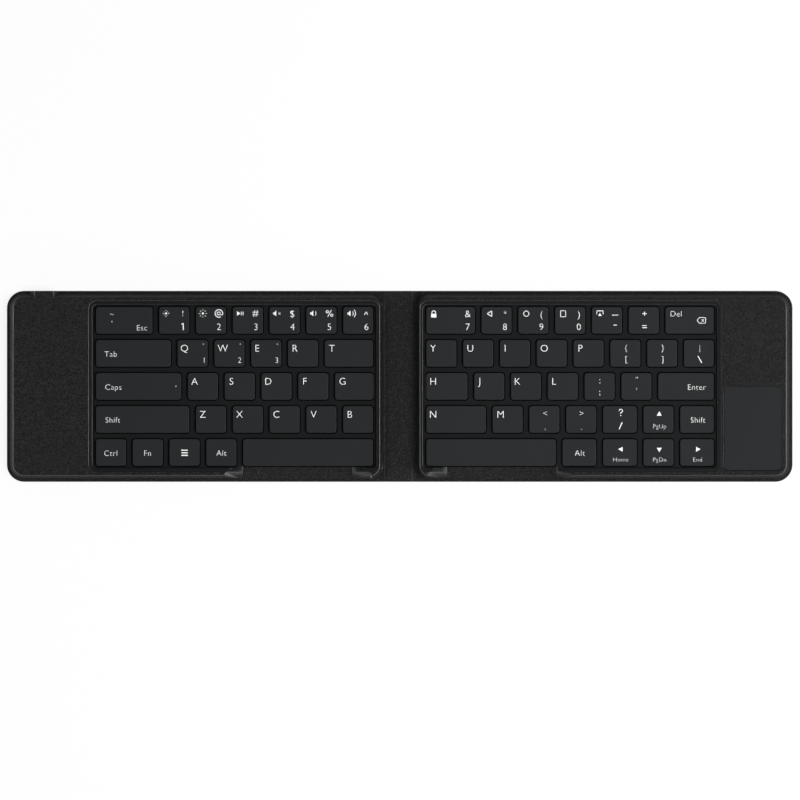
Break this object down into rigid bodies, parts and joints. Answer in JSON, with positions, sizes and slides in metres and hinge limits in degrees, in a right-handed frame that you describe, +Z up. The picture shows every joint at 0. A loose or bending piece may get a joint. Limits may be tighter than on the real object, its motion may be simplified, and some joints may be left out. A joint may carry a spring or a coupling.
{
  "type": "folding keyboard",
  "caption": "Thin folding keyboard whose key blocks lie in a leather wrap that folds like a book over its spine, with scissor-switch keys, a touchpad and a USB-C charging port.",
  "frame": {"origin": "middle of the underside of the open keyboard, under the middle of the spine", "axes": "+X along the key rows to the user's right, +Y away from the user, +Z up from the table through the keys"},
  "size_m": [0.3418, 0.083, 0.0066],
  "materials": {
    "leather": "fine pebble grain, matte",
    "key_plastic": "smooth matte",
    "black_plastic": "smooth matte",
    "touchpad_cover": "smooth, faintly satin",
    "steel": "bare stamped sheet",
    "magnet": "nickel plated",
    "film": "printed film",
    "link_plastic": "bare moulded",
    "rubber": "silicone",
    "circuit_board": "solder mask",
    "battery_pouch": "laminate pouch",
    "stiffener": "fibre board"
  },
  "bodies": {
    "left_half": {"left_cover_skin": "leather", "left_deck_skin": "leather", "left_base_tray": "black_plastic", "left_top_frame": "black_plastic", "left_backplate": "steel", "left_membrane": "film", "left_scissors": "link_plastic", "left_domes": "rubber", "main_board": "circuit_board", "battery": "battery_pouch", "usb_c_port": "steel", "left_magnets": "magnet"},
    "spine": {"spine_cover_skin": "leather", "spine_inner_skin": "leather", "spine_boards": "stiffener", "ribbon_cable": "film"},
    "right_half": {"right_cover_skin": "leather", "right_deck_skin": "leather", "right_base_tray": "black_plastic", "right_top_frame": "black_plastic", "right_backplate": "steel", "right_membrane": "film", "right_scissors": "link_plastic", "right_domes": "rubber", "touchpad": "touchpad_cover", "touchpad_board": "circuit_board", "touchpad_cable": "film", "right_magnets": "magnet"},
    "esc_key_body": {"esc_key": "key_plastic"},
    "keys_1_to_6_body": {"keys_1_to_6": "key_plastic"},
    "tab_key_body": {"tab_key": "key_plastic"},
    "keys_q_to_r_body": {"keys_q_to_r": "key_plastic"},
    "key_t_body": {"key_t": "key_plastic"},
    "caps_key_body": {"caps_key": "key_plastic"},
    "keys_a_to_f_body": {"keys_a_to_f": "key_plastic"},
    "key_g_body": {"key_g": "key_plastic"},
    "left_shift_key_body": {"left_shift_key": "key_plastic"},
    "keys_z_to_b_body": {"keys_z_to_b": "key_plastic"},
    "ctrl_key_body": {"ctrl_key": "key_plastic"},
    "fn_key_body": {"fn_key": "key_plastic"},
    "menu_key_body": {"menu_key": "key_plastic"},
    "left_alt_key_body": {"left_alt_key": "key_plastic"},
    "left_space_bar_body": {"left_space_bar": "key_plastic"},
    "key_7_body": {"key_7": "key_plastic"},
    "keys_8_to_equals_body": {"keys_8_to_equals": "key_plastic"},
    "backspace_key_body": {"backspace_key": "key_plastic"},
    "keys_y_to_backslash_body": {"keys_y_to_backslash": "key_plastic"},
    "key_h_body": {"key_h": "key_plastic"},
    "keys_j_to_quote_body": {"keys_j_to_quote": "key_plastic"},
    "enter_key_body": {"enter_key": "key_plastic"},
    "key_n_body": {"key_n": "key_plastic"},
    "keys_m_to_period_body": {"keys_m_to_period": "key_plastic"},
    "slash_key_body": {"slash_key": "key_plastic"},
    "up_key_body": {"up_key": "key_plastic"},
    "right_shift_key_body": {"right_shift_key": "key_plastic"},
    "right_space_bar_body": {"right_space_bar": "key_plastic"},
    "right_alt_key_body": {"right_alt_key": "key_plastic"},
    "left_arrow_key_body": {"left_arrow_key": "key_plastic"},
    "down_arrow_key_body": {"down_arrow_key": "key_plastic"},
    "right_arrow_key_body": {"right_arrow_key": "key_plastic"}
  },
  "joints": [
    {"name": "fold_left", "type": "hinge", "parent": "left_half", "child": "spine", "pos_m": [-0.00615, 0, 0.00065], "axis": [0, -1, 0], "range_deg": [0, 90], "deforming": ["ribbon_cable"]},
    {"name": "fold_right", "type": "hinge", "parent": "spine", "child": "right_half", "pos_m": [0.00615, 0, 0.00065], "axis": [0, -1, 0], "range_deg": [0, 90], "deforming": ["ribbon_cable"]},
    {"name": "press_esc", "type": "slide", "parent": "left_half", "child": "esc_key_body", "axis": [0, 0, -1], "range_m": [0, 0.0012], "stiffness_N_per_m": 300, "springref_m": -0.0005, "deforming": ["left_scissors", "left_domes"]},
    {"name": "press_keys_1_to_6", "type": "slide", "parent": "left_half", "child": "keys_1_to_6_body", "axis": [0, 0, -1], "range_m": [0, 0.0012], "stiffness_N_per_m": 300, "springref_m": -0.0005, "deforming": ["left_scissors", "left_domes"]},
    {"name": "press_tab", "type": "slide", "parent": "left_half", "child": "tab_key_body", "axis": [0, 0, -1], "range_m": [0, 0.0012], "stiffness_N_per_m": 300, "springref_m": -0.0005, "deforming": ["left_scissors", "left_domes"]},
    {"name": "press_keys_q_to_r", "type": "slide", "parent": "left_half", "child": "keys_q_to_r_body", "axis": [0, 0, -1], "range_m": [0, 0.0012], "stiffness_N_per_m": 300, "springref_m": -0.0005, "deforming": ["left_scissors", "left_domes"]},
    {"name": "press_key_t", "type": "slide", "parent": "left_half", "child": "key_t_body", "axis": [0, 0, -1], "range_m": [0, 0.0012], "stiffness_N_per_m": 300, "springref_m": -0.0005, "deforming": ["left_scissors", "left_domes"]},
    {"name": "press_caps", "type": "slide", "parent": "left_half", "child": "caps_key_body", "axis": [0, 0, -1], "range_m": [0, 0.0012], "stiffness_N_per_m": 300, "springref_m": -0.0005, "deforming": ["left_scissors", "left_domes"]},
    {"name": "press_keys_a_to_f", "type": "slide", "parent": "left_half", "child": "keys_a_to_f_body", "axis": [0, 0, -1], "range_m": [0, 0.0012], "stiffness_N_per_m": 300, "springref_m": -0.0005, "deforming": ["left_scissors", "left_domes"]},
    {"name": "press_key_g", "type": "slide", "parent": "left_half", "child": "key_g_body", "axis": [0, 0, -1], "range_m": [0, 0.0012], "stiffness_N_per_m": 300, "springref_m": -0.0005, "deforming": ["left_scissors", "left_domes"]},
    {"name": "press_left_shift", "type": "slide", "parent": "left_half", "child": "left_shift_key_body", "axis": [0, 0, -1], "range_m": [0, 0.0012], "stiffness_N_per_m": 300, "springref_m": -0.0005, "deforming": ["left_scissors", "left_domes"]},
    {"name": "press_keys_z_to_b", "type": "slide", "parent": "left_half", "child": "keys_z_to_b_body", "axis": [0, 0, -1], "range_m": [0, 0.0012], "stiffness_N_per_m": 300, "springref_m": -0.0005, "deforming": ["left_scissors", "left_domes"]},
    {"name": "press_ctrl", "type": "slide", "parent": "left_half", "child": "ctrl_key_body", "axis": [0, 0, -1], "range_m": [0, 0.0012], "stiffness_N_per_m": 300, "springref_m": -0.0005, "deforming": ["left_scissors", "left_domes"]},
    {"name": "press_fn", "type": "slide", "parent": "left_half", "child": "fn_key_body", "axis": [0, 0, -1], "range_m": [0, 0.0012], "stiffness_N_per_m": 300, "springref_m": -0.0005, "deforming": ["left_scissors", "left_domes"]},
    {"name": "press_menu", "type": "slide", "parent": "left_half", "child": "menu_key_body", "axis": [0, 0, -1], "range_m": [0, 0.0012], "stiffness_N_per_m": 300, "springref_m": -0.0005, "deforming": ["left_scissors", "left_domes"]},
    {"name": "press_left_alt", "type": "slide", "parent": "left_half", "child": "left_alt_key_body", "axis": [0, 0, -1], "range_m": [0, 0.0012], "stiffness_N_per_m": 300, "springref_m": -0.0005, "deforming": ["left_scissors", "left_domes"]},
    {"name": "press_left_space_bar", "type": "slide", "parent": "left_half", "child": "left_space_bar_body", "axis": [0, 0, -1], "range_m": [0, 0.0012], "stiffness_N_per_m": 300, "springref_m": -0.0005, "deforming": ["left_scissors", "left_domes"]},
    {"name": "press_key_7", "type": "slide", "parent": "right_half", "child": "key_7_body", "axis": [0, 0, -1], "range_m": [0, 0.0012], "stiffness_N_per_m": 300, "springref_m": -0.0005, "deforming": ["right_scissors", "right_domes"]},
    {"name": "press_keys_8_to_equals", "type": "slide", "parent": "right_half", "child": "keys_8_to_equals_body", "axis": [0, 0, -1], "range_m": [0, 0.0012], "stiffness_N_per_m": 300, "springref_m": -0.0005, "deforming": ["right_scissors", "right_domes"]},
    {"name": "press_backspace", "type": "slide", "parent": "right_half", "child": "backspace_key_body", "axis": [0, 0, -1], "range_m": [0, 0.0012], "stiffness_N_per_m": 300, "springref_m": -0.0005, "deforming": ["right_scissors", "right_domes"]},
    {"name": "press_keys_y_to_backslash", "type": "slide", "parent": "right_half", "child": "keys_y_to_backslash_body", "axis": [0, 0, -1], "range_m": [0, 0.0012], "stiffness_N_per_m": 300, "springref_m": -0.0005, "deforming": ["right_scissors", "right_domes"]},
    {"name": "press_key_h", "type": "slide", "parent": "right_half", "child": "key_h_body", "axis": [0, 0, -1], "range_m": [0, 0.0012], "stiffness_N_per_m": 300, "springref_m": -0.0005, "deforming": ["right_scissors", "right_domes"]},
    {"name": "press_keys_j_to_quote", "type": "slide", "parent": "right_half", "child": "keys_j_to_quote_body", "axis": [0, 0, -1], "range_m": [0, 0.0012], "stiffness_N_per_m": 300, "springref_m": -0.0005, "deforming": ["right_scissors", "right_domes"]},
    {"name": "press_enter", "type": "slide", "parent": "right_half", "child": "enter_key_body", "axis": [0, 0, -1], "range_m": [0, 0.0012], "stiffness_N_per_m": 300, "springref_m": -0.0005, "deforming": ["right_scissors", "right_domes"]},
    {"name": "press_key_n", "type": "slide", "parent": "right_half", "child": "key_n_body", "axis": [0, 0, -1], "range_m": [0, 0.0012], "stiffness_N_per_m": 300, "springref_m": -0.0005, "deforming": ["right_scissors", "right_domes"]},
    {"name": "press_keys_m_to_period", "type": "slide", "parent": "right_half", "child": "keys_m_to_period_body", "axis": [0, 0, -1], "range_m": [0, 0.0012], "stiffness_N_per_m": 300, "springref_m": -0.0005, "deforming": ["right_scissors", "right_domes"]},
    {"name": "press_slash", "type": "slide", "parent": "right_half", "child": "slash_key_body", "axis": [0, 0, -1], "range_m": [0, 0.0012], "stiffness_N_per_m": 300, "springref_m": -0.0005, "deforming": ["right_scissors", "right_domes"]},
    {"name": "press_up", "type": "slide", "parent": "right_half", "child": "up_key_body", "axis": [0, 0, -1], "range_m": [0, 0.0012], "stiffness_N_per_m": 300, "springref_m": -0.0005, "deforming": ["right_scissors", "right_domes"]},
    {"name": "press_right_shift", "type": "slide", "parent": "right_half", "child": "right_shift_key_body", "axis": [0, 0, -1], "range_m": [0, 0.0012], "stiffness_N_per_m": 300, "springref_m": -0.0005, "deforming": ["right_scissors", "right_domes"]},
    {"name": "press_right_space_bar", "type": "slide", "parent": "right_half", "child": "right_space_bar_body", "axis": [0, 0, -1], "range_m": [0, 0.0012], "stiffness_N_per_m": 300, "springref_m": -0.0005, "deforming": ["right_scissors", "right_domes"]},
    {"name": "press_right_alt", "type": "slide", "parent": "right_half", "child": "right_alt_key_body", "axis": [0, 0, -1], "range_m": [0, 0.0012], "stiffness_N_per_m": 300, "springref_m": -0.0005, "deforming": ["right_scissors", "right_domes"]},
    {"name": "press_left_arrow", "type": "slide", "parent": "right_half", "child": "left_arrow_key_body", "axis": [0, 0, -1], "range_m": [0, 0.0012], "stiffness_N_per_m": 300, "springref_m": -0.0005, "deforming": ["right_scissors", "right_domes"]},
    {"name": "press_down_arrow", "type": "slide", "parent": "right_half", "child": "down_arrow_key_body", "axis": [0, 0, -1], "range_m": [0, 0.0012], "stiffness_N_per_m": 300, "springref_m": -0.0005, "deforming": ["right_scissors", "right_domes"]},
    {"name": "press_right_arrow", "type": "slide", "parent": "right_half", "child": "right_arrow_key_body", "axis": [0, 0, -1], "range_m": [0, 0.0012], "stiffness_N_per_m": 300, "springref_m": -0.0005, "deforming": ["right_scissors", "right_domes"]}
  ]
}
